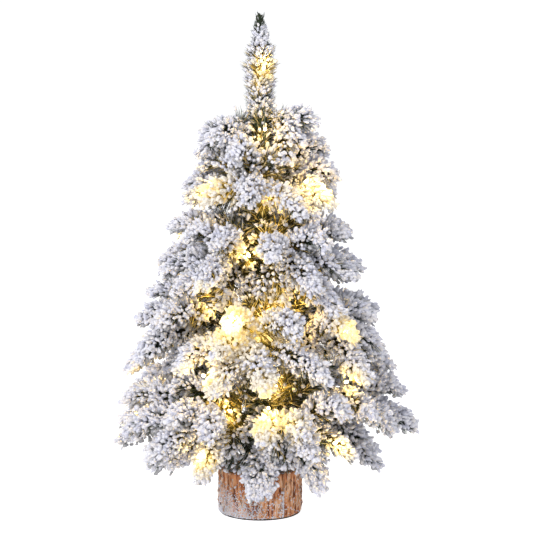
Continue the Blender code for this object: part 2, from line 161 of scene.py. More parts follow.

# each lit branch: its bulbs, as (direction, distance from the trunk's axis, height), and how
# bright a bulb looks where that isn't 1: less flock over a bulb makes it look brighter. It sets the
# power of the bulb's light and the reach of the glow painted round it
BULBS = {
    2: ((80, 0.060, 0.136), (70, 0.130, 0.118, 1.4)),
    3: ((184, 0.120, 0.150, 0.8), (186, 0.148, 0.118, 0.6)),
    4: ((239, 0.122, 0.092, 0.9), (236, 0.060, 0.132)),
    5: ((274, 0.140, 0.156, 3.6), (306, 0.144, 0.110, 1.1), (292, 0.048, 0.160)),
    6: ((253, 0.107, 0.249, 4.2), (243, 0.138, 0.190, 1.5), (268, 0.056, 0.232, 2.4)),
    7: ((320, 0.126, 0.233, 1.1), (320, 0.128, 0.174, 0.8), (300, 0.058, 0.250, 2.6)),
    9: ((160, 0.120, 0.218, 1.6), (222, 0.060, 0.252, 1.2)),
    11: ((258, 0.060, 0.318, 1.3), (150, 0.096, 0.318, 1.4), (286, 0.040, 0.330)),
    15: ((318, 0.070, 0.403, 1.8), (328, 0.084, 0.396, 1.4), (60, 0.074, 0.412, 1.4)),
    16: ((220, 0.066, 0.390, 1.6), (140, 0.074, 0.402, 1.2)),
}
TRUNK_BULBS = ((286, 0.036, 0.378, 1.5), (278, 0.042, 0.463, 1.2), (290, 0.012, 0.530, 0.8))

GLOW_POWER = 0.044                          # watts of each bulb's light
GLOW_COLOUR = (1.0, 0.65, 0.17)
GLOW_RANGES = (0.010, 0.020, 0.034)         # reach of the bright, golden and faint glow painted round a bulb
GLOW_OUT = 0.008                            # how far outside its bulb the painted glow has its centre
LIGHT_OUT, TRUNK_LIGHT_OUT = 0.010, 0.012   # and how far outside it the bulb's light stands
LIGHT_R = 0.0035
SKY_LIGHT, SKY_SEEN = 0.34, 1.05            # the studio as it lights the tree, and as it looks
FLOOR_LIGHT, FLOOR_SEEN = 0.22, 0.84


# ---------------------------------------------------------------- materials
def node_material(name, colour, roughness, metallic=0.0):
    """A Principled material of one colour."""
    made = bpy.data.materials.new(name)
    made.use_nodes = True
    shader = made.node_tree.nodes["Principled BSDF"]
    shader.inputs["Base Color"].default_value = (*colour, 1.0)
    shader.inputs["Roughness"].default_value = roughness
    shader.inputs["Metallic"].default_value = metallic
    return made


def add_node(made, kind, **inputs):
    """A new node of a material, with its inputs by name."""
    node = made.node_tree.nodes.new(kind)
    for name, value in inputs.items():
        node.inputs[name.replace("_", " ")].default_value = value
    return node


def noise(made, scale, detail=4.0, stretch=(1.0, 1.0, 1.0)):
    """A noise texture over the piece's own coordinates."""
    place = add_node(made, "ShaderNodeTexCoord")
    mapping = add_node(made, "ShaderNodeMapping", Scale=stretch)
    texture = add_node(made, "ShaderNodeTexNoise", Scale=scale, Detail=detail)
    links = made.node_tree.links
    links.new(place.outputs["Object"], mapping.inputs["Vector"])
    links.new(mapping.outputs["Vector"], texture.inputs["Vector"])
    return texture


def vary(made, texture, stops, target="Base Color"):
    """A colour ramp from a texture into one of the shader's inputs."""
    ramp = add_node(made, "ShaderNodeValToRGB")
    ramp.color_ramp.elements[0].position = stops[0][0]
    ramp.color_ramp.elements[1].position = stops[-1][0]
    for position, _ in stops[1:-1]:
        ramp.color_ramp.elements.new(position)
    for element, (_, colour) in zip(ramp.color_ramp.elements, stops):
        element.color = (*colour, 1.0)
    shader = made.node_tree.nodes["Principled BSDF"]
    made.node_tree.links.new(texture.outputs["Fac"], ramp.inputs["Fac"])
    made.node_tree.links.new(ramp.outputs["Color"], shader.inputs[target])


def bump(made, texture, strength, distance):
    """Surface grain from a texture."""
    node = add_node(made, "ShaderNodeBump", Strength=strength, Distance=distance)
    shader = made.node_tree.nodes["Principled BSDF"]
    made.node_tree.links.new(texture.outputs["Fac"], node.inputs["Height"])
    made.node_tree.links.new(node.outputs["Normal"], shader.inputs["Normal"])


def grained(name, colour, roughness, scale, spread=0.10, depth=0.0002, metallic=0.0):
    """A plain colour whose roughness and surface vary with a fine grain."""
    made = node_material(name, colour, roughness, metallic)
    texture = noise(made, scale)
    low, high = max(0.0, roughness - spread), min(1.0, roughness + spread)
    vary(made, texture, ((0.3, (low,) * 3), (0.7, (high,) * 3)), "Roughness")
    bump(made, texture, 0.5, depth)
    return made


def mottled(name, stops, roughness, scale, depth, stretch=(1.0, 1.0, 1.0)):
    """Colours that change with a noise, and a surface that follows the same noise."""
    made = node_material(name, stops[0][1], roughness)
    texture = noise(made, scale, 6.0, stretch)
    vary(made, texture, stops)
    bump(made, texture, 0.8, depth)
    return made


SNOWS = [grained(f"flock_{name}", colour, 0.95, 700.0, 0.05, 0.0006) for name, colour in (
    ("white", (0.80, 0.80, 0.86)), ("blue", (0.68, 0.69, 0.79)), ("cream", (0.81, 0.785, 0.79)),
    ("thin", (0.46, 0.46, 0.48)),               # the last one, for undersides: thinner flock there, and painted shade that darkens each sprig's underside
)]
GREENS = [
    grained("needle_dark", (0.014, 0.024, 0.010), 0.55, 500.0),
    grained("needle_green", (0.028, 0.054, 0.022), 0.50, 500.0),
    grained("needle_olive", (0.058, 0.058, 0.020), 0.55, 500.0),
]
FROSTS = [
    grained("frost_pale", (0.62, 0.65, 0.66), 0.85, 600.0),
    grained("frost_green", (0.25, 0.29, 0.25), 0.80, 600.0),
    grained("frost_white", (0.80, 0.81, 0.84), 0.90, 600.0),
]


def glow(made, colour, strength):
    """Makes a material glow: the bulbs' glass, which is the lamp, and the glow painted on foliage
    near a bulb; the light beside each bulb does the lighting.
    """
    shader = made.node_tree.nodes["Principled BSDF"]
    shader.inputs["Emission Color"].default_value = (*colour, 1.0)
    shader.inputs["Emission Strength"].default_value = strength
    made.cycles.emission_sampling = "NONE"


def lit(name, glows):
    """Copies of a material with a bulb's light painted in, as a warmer colour and a glow, for where
    bulbs shine through it: brightest first.
    """
    made = []
    for k, (colour, emitted, strength) in enumerate(glows):
        made.append(grained(f"{name}_lit_{k + 1}", colour, 0.9, 650.0, 0.05, 0.0005))
        glow(made[-1], emitted, strength)
    return made


# painted glow: warmer, glowing copies of the flock, the frosted needles and the green needles, for
# the parts near a bulb
SNOWS_LIT = lit("flock", (
    ((0.90, 0.84, 0.66), (1.0, 0.76, 0.34), 1.10),
    ((0.84, 0.77, 0.56), (1.0, 0.68, 0.20), 0.30),
    ((0.86, 0.82, 0.74), (1.0, 0.64, 0.20), 0.05),
))
FROSTS_LIT = lit("frost", (
    ((0.85, 0.75, 0.45), (1.0, 0.72, 0.26), 1.30),
    ((0.66, 0.53, 0.22), (1.0, 0.64, 0.12), 0.50),
    ((0.55, 0.47, 0.27), (1.0, 0.60, 0.10), 0.16),
))
GREENS_LIT = lit("needle", (
    ((0.40, 0.32, 0.07), (1.0, 0.68, 0.12), 0.50),
    ((0.16, 0.12, 0.02), (1.0, 0.60, 0.06), 0.12),
    ((0.050, 0.048, 0.016), (1.0, 0.58, 0.06), 0.015),
))
TWIG = grained("twig_wire", (0.065, 0.050, 0.030), 0.60, 400.0)
STRING = grained("string_wire", (0.10, 0.12, 0.07), 0.40, 300.0)
SOCKET = grained("bulb_socket", (0.70, 0.68, 0.60), 0.40, 300.0)
BULB = node_material("bulb_glow", (1.0, 0.85, 0.60), 0.15)
glow(BULB, (1.0, 0.74, 0.36), 28.0)


# ---------------------------------------------------------------- meshes from arrays
def unit(v):
    """Vectors scaled to length 1."""
    return v / np.maximum(np.linalg.norm(v, axis=-1, keepdims=True), 1e-12)


def polar(direction, reach, height):
    """A point from its direction in degrees round the trunk, its reach and its height."""
    angle = radians(direction)
    return np.array((reach * cos(angle), reach * sin(angle), height))


def level(angle):
    """Level unit vectors at angles round the trunk."""
    return np.stack([np.cos(angle), np.sin(angle), np.zeros(len(angle))], axis=1)


def across(direction):
    """Two unit vectors square to each direction."""
    helper = np.where(np.abs(direction[:, 2:3]) > 0.9, np.array((1.0, 0.0, 0.0)), UP)
    first = unit(np.cross(direction, helper))
    return first, np.cross(direction, first)


def fingers(starts, ends, radii, profile, sides, rough, bend):
    """Closed tapered fingers, all at once: rings at the profile's (place, swelling), then a tip.

    Their rings are uneven by the share rough, and their middles swing out by about bend.
    """
    count = len(starts)
    direction = unit(ends - starts)
    first, second = across(direction)
    sway = (RNG.normal(size=(count, 1)) * first + RNG.normal(size=(count, 1)) * second) * bend
    turn = RNG.uniform(0, tau, (count, 1))
    rings = []
    for place, swelling in profile:
        centre = starts + (ends - starts) * place + sway * 4 * place * (1 - place)
        angle = turn + np.arange(sides) * tau / sides
        size = radii[:, None] * swelling * (1 + rough * RNG.uniform(-1, 1, (count, sides)))
        ring = (
            centre[:, None, :]
            + (np.cos(angle) * size)[..., None] * first[:, None, :]
            + (np.sin(angle) * size)[..., None] * second[:, None, :]
        )
        rings.append(ring)
    verts = np.concatenate([starts[:, None, :], *rings, ends[:, None, :]], axis=1)
    step = verts.shape[1]
    corner = np.arange(sides)
    after = (corner + 1) % sides
    faces = [np.stack([np.zeros(sides, int), 1 + after, 1 + corner], axis=1)]
    for k in range(len(profile) - 1):
        low, high = 1 + k * sides, 1 + (k + 1) * sides
        faces.append(np.stack([low + corner, low + after, high + after], axis=1))
        faces.append(np.stack([low + corner, high + after, high + corner], axis=1))
    last = 1 + (len(profile) - 1) * sides
    faces.append(np.stack([last + corner, last + after, np.full(sides, step - 1)], axis=1))
    faces = np.concatenate(faces)
    offsets = (np.arange(count) * step)[:, None, None]
    return verts.reshape(-1, 3), (faces[None] + offsets).reshape(-1, 3), len(faces)


def tube(path, radius, sides):
    """A closed tube along a path of points, with radii that may differ."""
    path = np.asarray(path, float)
    count = len(path)
    radius = np.broadcast_to(radius, (count,))
    direction = unit(np.gradient(path, axis=0))
    first, second = across(direction)
    angle = np.arange(sides) * tau / sides
    rings = (
        path[:, None, :]
        + (np.cos(angle) * radius[:, None])[..., None] * first[:, None, :]
        + (np.sin(angle) * radius[:, None])[..., None] * second[:, None, :]
    )
    verts = np.concatenate([rings.reshape(-1, 3), path[:1], path[-1:]])
    corner = np.arange(sides)
    after = (corner + 1) % sides
    faces = []
    for k in range(count - 1):
        low, high = k * sides, (k + 1) * sides
        faces.append(np.stack([low + corner, low + after, high + after], axis=1))
        faces.append(np.stack([low + corner, high + after, high + corner], axis=1))
    end = count * sides
    faces.append(np.stack([after, corner, np.full(sides, end)], axis=1))
    last = (count - 1) * sides
    faces.append(np.stack([last + corner, last + after, np.full(sides, end + 1)], axis=1))
    return verts, np.concatenate(faces)


def mesh_object(name, verts, triangles, materials, slots=None):
    """An object from arrays of points and triangles."""
    mesh = bpy.data.meshes.new(name)
    mesh.vertices.add(len(verts))
    mesh.vertices.foreach_set("co", np.asarray(verts, np.float32).ravel())
    mesh.loops.add(triangles.size)
    mesh.loops.foreach_set("vertex_index", triangles.astype(np.int32).ravel())
    mesh.polygons.add(len(triangles))
    mesh.polygons.foreach_set("loop_start", np.arange(0, triangles.size, 3, dtype=np.int32))
    mesh.polygons.foreach_set("use_smooth", np.ones(len(triangles), bool))
    for made in materials:
        mesh.materials.append(made)
    if slots is not None:
        mesh.polygons.foreach_set("material_index", slots.astype(np.int32))
    mesh.update(calc_edges=True)
    made = bpy.data.objects.new(name, mesh)
    bpy.context.scene.collection.objects.link(made)
    return made


def joined(parts):
    """Several (points, triangles) as one."""
    verts, faces, start = [], [], 0
    for points, triangles in parts:
        verts.append(points)
        faces.append(triangles + start)
        start += len(points)
    return np.concatenate(verts), np.concatenate(faces)


def factor(entry):
    """The fourth value of a bulb or of a sprig, which is 1 where it isn't given."""
    return entry[3] if len(entry) > 3 else 1.0


def glow_level(points, catch):
    """How near each point is to a bulb, for the glow painted on the foliage: 0 is the brightest
    ring, and 3 is out of the painted glow.

    A catch above 1 makes the glow reach further.
    """
    nearest = np.full(len(points), np.inf)
    for bulb in [*(bulb for bulbs in BULBS.values() for bulb in bulbs), *TRUNK_BULBS]:
        centre = polar(*bulb[:3]) + unit(polar(bulb[0], 1.0, 0.0)) * GLOW_OUT
        away = np.linalg.norm(points - centre, axis=1) / factor(bulb)**0.5
        nearest = np.minimum(nearest, away)
    return np.searchsorted(GLOW_RANGES, nearest / catch * RNG.uniform(0.80, 1.25, len(points)))


class Heap:
    """Fingers of one kind, gathered for one piece and built together."""

    def __init__(self, materials, shares, lit_materials, catch, profile, sides, rough, bend=0.0):
        self.materials, self.shares = materials, shares
        self.lit_materials, self.catch = lit_materials, catch
        self.shape = (profile, sides, rough, bend)
        self.starts, self.ends, self.radii, self.last = [], [], [], []

    def add(self, starts, ends, radii, last=False):
        """Fingers; those marked as last take the last material, the others take any."""
        self.starts.append(starts)
        self.ends.append(ends)
        self.radii.append(radii)
        self.last.append(np.broadcast_to(last, len(starts)))

    def build(self, name):
        """The heap's object."""
        starts, ends = np.concatenate(self.starts), np.concatenate(self.ends)
        verts, faces, each = fingers(starts, ends, np.concatenate(self.radii), *self.shape)
        pick = RNG.choice(len(self.materials), len(starts), p=self.shares)
        pick = np.where(np.concatenate(self.last), len(self.materials) - 1, pick)
        # painted glow: fingers near a bulb take a warmer, glowing lit copy of their material
        glows = glow_level((starts + ends) / 2, self.catch)
        pick = np.where(glows < len(GLOW_RANGES), len(self.materials) + glows, pick)
        slots = self.materials + self.lit_materials
        return mesh_object(name, verts, faces, slots, np.repeat(pick, each))


# (place along a finger, swelling) of its rings
FLOCK_PROFILE = ((0.10, 0.74), (0.48, 1.06), (0.86, 0.80))
NEEDLE_PROFILE = ((0.0, 0.8), (0.55, 1.0))
SNOW_SHARES = (0.55, 0.25, 0.20, 0.0)
NO_CATCH = 0.0001                           # for pieces that are out of every bulb's reach


def foliage_heaps():
    """Empty heaps of flock, of green needles and of frosted needles."""
    return (
        Heap(SNOWS, SNOW_SHARES, SNOWS_LIT, 0.72, FLOCK_PROFILE, 5, 0.30, 0.0008),
        Heap(GREENS, (0.45, 0.40, 0.15), GREENS_LIT, 0.90, NEEDLE_PROFILE, 3, 0.0, 0.0010),
        Heap(FROSTS, (0.45, 0.35, 0.20), FROSTS_LIT, 1.20, NEEDLE_PROFILE, 3, 0.2, 0.0008),
    )


def finish_piece(made, body, slot, *nodes):
    """Rides a piece on its body, and hides the CAD nodes it stands in for."""
    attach(made, body)
    if nodes:
        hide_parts(*nodes)
    return made


def finish_foliage(name, body, heaps, *nodes):
    """Builds the three heaps of a piece of foliage; its flock stands in for the CAD nodes."""
    snow, green, frost = heaps
    return [
        finish_piece(snow.build(f"{name}_flock"), body, "snow_foliage", *nodes),
        finish_piece(green.build(f"{name}_needles"), body, "snow_foliage"),
        finish_piece(frost.build(f"{name}_frosted_needles"), body, "snow_foliage"),
    ]


# ---------------------------------------------------------------- sprigs
def bezier(a, b, c, d, s):
    """Points of a cubic curve from a to d."""
    s = np.asarray(s)[:, None]
    return a * (1 - s)**3 + 3 * b * s * (1 - s)**2 + 3 * c * s**2 * (1 - s) + d * s**3


class Branch:
    """A branch's line, read from its hinge and its CAD foliage."""

    def __init__(self, number):
        self.body = f"branch_{number:02d}"
        joint = next(j for j in frame["joints"] if j["child"] == self.body)
        self.joint = joint["name"]
        self.root = np.array(joint["pos_m"])
        self.axis = np.array(joint["axis"])
        self.direction = atan2(self.root[1], self.root[0])
        self.out = np.array((cos(self.direction), sin(self.direction), 0.0))
        foliage = frame["nodes"][f"{self.body}_foliage"].data.vertices
        reach = max(np.linalg.norm(np.array(v.co) - self.root) for v in foliage)
        self.length = reach / STEM_CHORD

    def point(self, t):
        """A point of the line from 0 at the hinge to 1 at the tip."""
        slopes = self.slope(t * (np.arange(24) + 0.5) / 24)
        step = self.length * t / 24
        return self.root + step * (np.cos(slopes).sum() * self.out + np.sin(slopes).sum() * UP)

    def slope(self, t):
        """The line's slope at a point of it."""
        return STEM_SLOPES[0] + (STEM_SLOPES[1] - STEM_SLOPES[0]) * t

    def along(self, t):
        """The line's direction at a point of it."""
        return cos(self.slope(t)) * self.out + sin(self.slope(t)) * UP


def sprig_line(branch, tip):
    """A twig's line: it leaves the stem, and bends out and down to its tip."""
    outward = unit(tip * (1, 1, 0))
    ahead = float((tip - branch.root) @ branch.out)
    t = min(0.60, max(0.10, (ahead - TWIG_AHEAD) / branch.length))
    start = branch.point(t)
    length = np.linalg.norm(tip - start)
    leave = unit(0.7 * branch.along(t) + unit(tip - start))
    arrive = unit(outward - RNG.uniform(0.50, 0.95) * UP + 0.4 * unit(tip - start))
    s = np.linspace(0.0, 1.0, 15)
    end = tip - arrive * TWIG_SHORT
    line = bezier(start, start + leave * 0.4 * length, end - arrive * 0.33 * length, end, s)
    return line, length


def place_on(line, distance_from_end):
    """Points and directions on a line at distances back from its end."""
    steps = np.linalg.norm(np.diff(line, axis=0), axis=1)
    place = np.concatenate([[0.0], np.cumsum(steps)])
    at = np.clip(place[-1] - distance_from_end, 0.0, place[-1])
    points = np.stack([np.interp(at, place, line[:, k]) for k in range(3)], axis=1)
    slopes = unit(np.gradient(line, axis=0))
    direction = unit(np.stack([np.interp(at, place, slopes[:, k]) for k in range(3)], axis=1))
    return points, direction


def ray(direction, angle, lean):
    """Unit vectors that leave a line at an angle, all round it."""
    first, second = across(direction)
    turn = RNG.uniform(0, tau, len(direction))
    side = np.cos(turn)[:, None] * first + np.sin(turn)[:, None] * second
    rays = np.cos(angle)[:, None] * direction + np.sin(angle)[:, None] * side
    rays[:, 2] -= lean
    return unit(rays), side


def grow(line, radius, count, length, spread=(64, 16), reach=(0.85, 1.05)):
    """Needles on the outer part of a line: their feet, their ends and the side they leave from.

    They stand out at the foot of the sprig and lean forward at its tip, and the tips of the
    needles make its rounded outline.
    """
    u = RNG.uniform(0.0, 1.0, count)
    feet, direction = place_on(line, (1.0 - u) * length)
    angle = np.radians(spread[0] + (spread[1] - spread[0]) * u**1.3 + RNG.normal(0, 7, count))
    rays, side = ray(direction, angle, 0.06)
    swell = np.minimum(1.0, 0.66 + 0.75 * u)
    size = np.minimum(NEEDLE_MAX, radius * swell / np.maximum(np.sin(angle), 0.35))
    size *= np.where(u > 0.8, 0.86, 1.0) * RNG.uniform(*reach, count)
    return feet, feet + rays * size[:, None], side[:, 2], u


def clump(ends):
    """Bunches the ends of neighbouring needles together, as wet flock does."""
    pull = np.zeros_like(ends)
    for scale, size in ((620.0, 0.0018), (330.0, 0.0022)):
        field = ends[:, (1, 2, 0)] * scale + np.array((0.0, 2.1, 4.2))
        pull += size * np.sin(field) * np.cos(ends[:, (2, 0, 1)] * scale * 0.7)
    return ends + pull


def dress(line, radius, length, snow, green, frost, flocked):
    """One sprig: flock on top and at the tip, frosted and bare needles below and inside."""
    area = radius * length / (SPRIG_R[1] * FOLIAGE_ON_TWIG)
    lumps = int(FLOCK_LUMPS * area)
    feet, ends, upward, u = grow(line, radius, lumps, length, reach=(0.68, 1.03))
    chance = np.clip(0.72 + 0.74 * upward, 0.12, 1.0) * np.clip(0.20 + 1.8 * u, 0.0, 1.0)
    keep = RNG.uniform(size=len(feet)) < chance * flocked
    feet, ends = feet[keep], clump(ends[keep])
    # painted shade: lumps that point down take the darker thin flock, partly thinner flock and
    # partly shade painted on each sprig's underside
    shaded_under = upward[keep] + RNG.normal(0.0, 0.22, len(feet)) < SHADED_UNDERSIDE
    start = RNG.uniform(0.58, 0.82, len(feet))[:, None]
    radii = FLOCK_R * RNG.uniform(0.60, 1.30, len(feet))
    snow.add(feet + (ends - feet) * start, ends, radii, shaded_under)
    green.add(feet, feet + (ends - feet) * (start + 0.08), np.full(len(feet), NEEDLE_R * 1.1))
    feet, ends = grow(line, radius, int(LOOSE_GREENS * area), length, reach=(0.80, 1.08))[:2]
    green.add(feet, ends, NEEDLE_R * RNG.uniform(0.8, 1.2, len(feet)))
    pale = int((PALE_NEEDLES + PALE_WITH_FLOCK * flocked) * area)
    feet, ends = grow(line, radius, pale, length, reach=(0.75, 1.06))[:2]
    frost.add(feet, ends, FROSTED_R * RNG.uniform(0.7, 1.2, len(feet)))


def twisted_stem(path, radius):
    """Two wires twisted round each other along a path."""
    path = np.asarray(path)
    direction = unit(np.gradient(path, axis=0))
    first, second = across(direction)
    turn = np.arange(len(path)) * 0.9
    off = (np.cos(turn)[:, None] * first + np.sin(turn)[:, None] * second) * radius * 0.5
    return [tube(path + off, radius * 0.55, 5), tube(path - off, radius * 0.55, 5)]


def make_string(name, body, points, bulbs):
    """A lead through points, with a socket and a bulb at each (place, direction) of its bulbs."""
    lead = tube(smooth(points), STRING_R, 5)
    sockets, glass = [], []
    for place, direction in bulbs:
        foot = place - direction * 0.0030
        sockets.append(tube(
            [foot, foot + direction * 0.0010, foot + direction * 0.0034, foot + direction * 0.0040],
            np.array((0.0008, 0.0016, 0.0016, 0.0012)), 10,
        ))
        steps = np.linspace(0.0, 1.0, 7)
        outline = BULB_R * np.sqrt(np.clip(1 - (steps * 1.6 - 0.62)**2, 0.02, 1.0))
        base = foot + direction * 0.0036
        glass.append(tube(base + steps[:, None] * direction * BULB_LENGTH * 0.8, outline, 10))
    return [
        finish_piece(mesh_object(f"{name}_string", *lead, [STRING]), body, "light_lead",
                     f"{name}_lead"),
        finish_piece(mesh_object(f"{name}_sockets", *joined(sockets), [SOCKET]), body,
                     "light_lead"),
        finish_piece(mesh_object(f"{name}_bulbs", *joined(glass), [BULB]), body, "light_lead"),
    ]


def smooth(points):
    """A Catmull-Rom curve through points."""
    p = np.asarray(points, float)
    p = np.concatenate([2 * p[:1] - p[1:2], p, 2 * p[-1:] - p[-2:-1]])
    out = []
    for k in range(1, len(p) - 2):
        a, b, c, d = p[k - 1:k + 3]
        for s in np.arange(SPAN_POINTS) / SPAN_POINTS:
            out.append(0.5 * (2 * b + (c - a) * s + (2 * a - 5 * b + 4 * c - d) * s**2
                              + (3 * b - a - 3 * c + d) * s**3))
    out.append(p[-2])
    return np.array(out)


def glow_light(name, place, body, bright):
    """The small warm light beside a bulb."""
    light = bpy.data.lights.new(name, "POINT")
    light.energy = GLOW_POWER * bright**0.5
    light.color = GLOW_COLOUR
    light.shadow_soft_size = LIGHT_R
    made = bpy.data.objects.new(name, light)
    made.location = place
    bpy.context.scene.collection.objects.link(made)
    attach(made, body)


def inner_tips(branch, tier):
    """Tips of the shorter sprigs that fill a branch near the trunk, above and below its wire.

    A turn is (angle from the branch, share of its length, height above its hinge).
    """
    turns = [(-0.50, 0.56, 0.036), (0.0, 0.52, 0.044), (0.50, 0.56, 0.036), (-0.27, 0.66, -0.030),
             (0.27, 0.66, -0.030)]
    if tier == 1:                               # the lowest branches hang over the base's edge
        turns += [(-0.62, 0.50, -0.050), (-0.30, 0.44, -0.056), (0.0, 0.42, -0.056),
                  (0.30, 0.44, -0.056), (0.62, 0.50, -0.050)]
    lift = {4: 0.35, 5: 0.0}.get(tier, 1.0)     # the crown stays low round the leader
    for turn, ahead, rise in turns:
        angle = branch.direction + turn * RNG.uniform(0.8, 1.2)
        reach = max(0.042, branch.length * ahead * RNG.uniform(0.92, 1.08))
        rise = max(rise, 0.0) * lift + min(rise, 0.0)
        height = branch.root[2] + rise * min(1.0, branch.length / 0.11) + RNG.uniform(-0.006, 0.006)
        yield degrees(angle), reach, height


def make_branch(number):
    """A branch: its wires and twigs, its sprigs, needles along its wire, and its string."""
    branch = Branch(number)
    body = branch.body
    radius = SPRIG_R[TIER_OF[number]]
    snow, green, frost = foliage_heaps()
    stem = [branch.point(t) for t in np.linspace(0.0, WIRE_END, 40)]
    twigs = twisted_stem(stem, WIRE_R)
    outer = [(tip[:3], factor(tip)) for tip in SPRIGS[number]]
    inner = [(tip, INNER_FLOCK) for tip in inner_tips(branch, TIER_OF[number])]
    for tip, flocked in outer + inner:
        line, length = sprig_line(branch, polar(*tip))
        twigs.append(tube(line, np.linspace(TWIG_R, TWIG_TIP_R, len(line)), 5))
        size = radius * RNG.uniform(0.93, 1.08) * (0.8 + 0.2 * flocked)
        covered = min(FOLIAGE_ON_TWIG * RNG.uniform(0.92, 1.08), length * 0.86)
        dress(line, size, covered, snow, green, frost, flocked)
        bare = max(0.0, length - covered)
        if bare > 0.012:
            foot = line[: max(4, int(len(line) * bare / length) + 1)]
            feet, ends = grow(foot, 0.015, int(WIRE_GREENS * bare), bare, (62, 48))[:2]
            green.add(feet, ends, np.full(len(feet), NEEDLE_R))
    wire = np.array([branch.point(t) for t in np.linspace(0.04, WIRE_END, 15)])
    reach = branch.length * 0.55
    feet, ends = grow(wire, 0.018, int(WIRE_GREENS * reach), reach, (66, 52))[:2]
    green.add(feet, ends, NEEDLE_R * RNG.uniform(0.8, 1.2, len(feet)))
    feet, ends = grow(wire, 0.017, int(WIRE_PALES * reach), reach, (66, 52))[:2]
    frost.add(feet, ends, np.full(len(feet), FROSTED_R * 0.8))

    pieces = finish_foliage(body, body, (snow, green, frost), f"{body}_foliage")
    pieces.append(finish_piece(mesh_object(f"{body}_twigs", *joined(twigs), [TWIG]), body,
                               "green_wire", f"{body}_stem"))
    if number in BULBS:
        pieces += make_branch_string(branch, number)
    for piece in pieces:
        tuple(branch.axis)
        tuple(branch.root)
        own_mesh(piece)


def make_branch_string(branch, number):
    """The branch's stretch of the light string: along the stem, with a loop out to each bulb."""
    body = branch.body
    below = STRING_BELOW * UP
    bulbs, points = [], [branch.point(0.06) - below, branch.point(0.16) - below]
    for bulb in sorted(BULBS[number], key=lambda bulb: bulb[1]):
        place = polar(*bulb[:3])
        ahead = float((place - branch.root) @ branch.out) / branch.length
        t = min(0.85, max(0.20, ahead))
        foot = branch.point(max(0.18, t - 0.12)) - below
        outward = unit(place * (1, 1, 0) + 0.035 * UP)
        points += [foot, place - outward * 0.004, branch.point(t) - below]
        bulbs.append((place, outward))
        name = f"{body}_light_{len(bulbs)}"
        glow_light(name, place + outward * LIGHT_OUT, body, factor(bulb))
    return make_string(body, body, points, bulbs)


# ---------------------------------------------------------------- trunk and leader
def make_trunk_foliage():
    """Needles and a little flock that hide the trunk between the tiers."""
    snow, green, frost = foliage_heaps()
    line = np.array([(0.0, 0.0, z) for z in np.linspace(0.062, 0.500, 30)])
    feet, ends = grow(line, 0.033, 6000, TRUNK_FOLIAGE, (80, 56), (0.5, 1.1))[:2]
    green.add(feet, ends, NEEDLE_R * RNG.uniform(0.8, 1.4, len(feet)))
    feet, ends = grow(line, 0.036, 2300, TRUNK_FOLIAGE, (80, 56), (0.5, 1.1))[:2]
    frost.add(feet, ends, FROSTED_R * RNG.uniform(0.8, 1.2, len(feet)))
    feet, ends = grow(line, 0.032, 300, TRUNK_FOLIAGE, (84, 60), (0.7, 1.1))[:2]
    snow.add(feet + (ends - feet) * 0.78, ends, FLOCK_R * RNG.uniform(0.6, 1.0, len(feet)))
    finish_foliage("trunk", ROOT_BODY, (snow, green, frost))


def make_leader():
    """The upright brush: thin flocked needles in steps, and a bare green cluster at its top."""
    outline_z = (0.480, 0.500, 0.505, 0.520, 0.525, 0.541, 0.545, 0.558, 0.563, 0.576, 0.590)
    outline_r = (0.0165, 0.0205, 0.0165, 0.0220, 0.0185, 0.0245, 0.0160, 0.0210, 0.0125, 0.0110,
                 0.0055)
    snow, green, frost = foliage_heaps()

    def tuft(heap, count, thickness, start, reach, top):
        """Rising needles of the brush; start is where along them a heap's fingers begin."""
        height = RNG.uniform(0.470, top, count)
        rise = RNG.uniform(0.30, 0.85, count)
        tip_height = height + 0.013 * rise + 0.004
        radius = np.interp(tip_height, outline_z, outline_r) * RNG.uniform(*reach, count)
        side = level(RNG.uniform(0, tau, count))
        feet = UP * height[:, None] + side * 0.0016
        ends = side * radius[:, None] + UP * tip_height[:, None]
        place = RNG.uniform(*start, count)[:, None]
        heap.add(feet + (ends - feet) * place, ends, thickness * RNG.uniform(0.75, 1.2, count))

    tuft(snow, 760, LEADER_FLOCK_R, (0.45, 0.72), (0.60, 0.98), 0.571)
    tuft(green, 760, NEEDLE_R * 1.2, (0.0, 0.05), (0.80, 1.14), 0.586)
    tuft(frost, 360, FROSTED_R, (0.0, 0.1), (0.75, 1.08), 0.576)
    count = 30                                  # the bare cluster
    side = level(RNG.uniform(0, tau, count))
    feet = UP * RNG.uniform(0.580, 0.592, count)[:, None]
    ends = feet + side * RNG.uniform(0.0032, 0.0062, count)[:, None]
    ends += UP * RNG.uniform(0.0015, 0.0065, count)[:, None]
    green.add(feet, ends, np.full(count, 0.0013))
    finish_foliage("leader", ROOT_BODY, (snow, green, frost), "leader_foliage")


def make_trunk_string():
    """The lead wound up the trunk and into the leader, with its three bulbs."""
    points = [polar(-80 - 1440 * f, 0.0095, 0.030 + 0.410 * f) for f in np.linspace(0.0, 1.0, 44)]
    bulbs = []
    for bulb in TRUNK_BULBS:
        place = polar(*bulb[:3])
        outward = unit(place * (1, 1, 0) + 0.02 * UP)
        points += [place - outward * 0.004 - 0.006 * UP, place - outward * 0.003 + 0.002 * UP]
        bulbs.append((place, outward))
        name = f"trunk_light_{len(bulbs)}"
        glow_light(name, place + outward * TRUNK_LIGHT_OUT, ROOT_BODY, factor(bulb))
    points.insert(-2, polar(-60, 0.0100, 0.492))
    make_string("trunk", ROOT_BODY, points, bulbs)


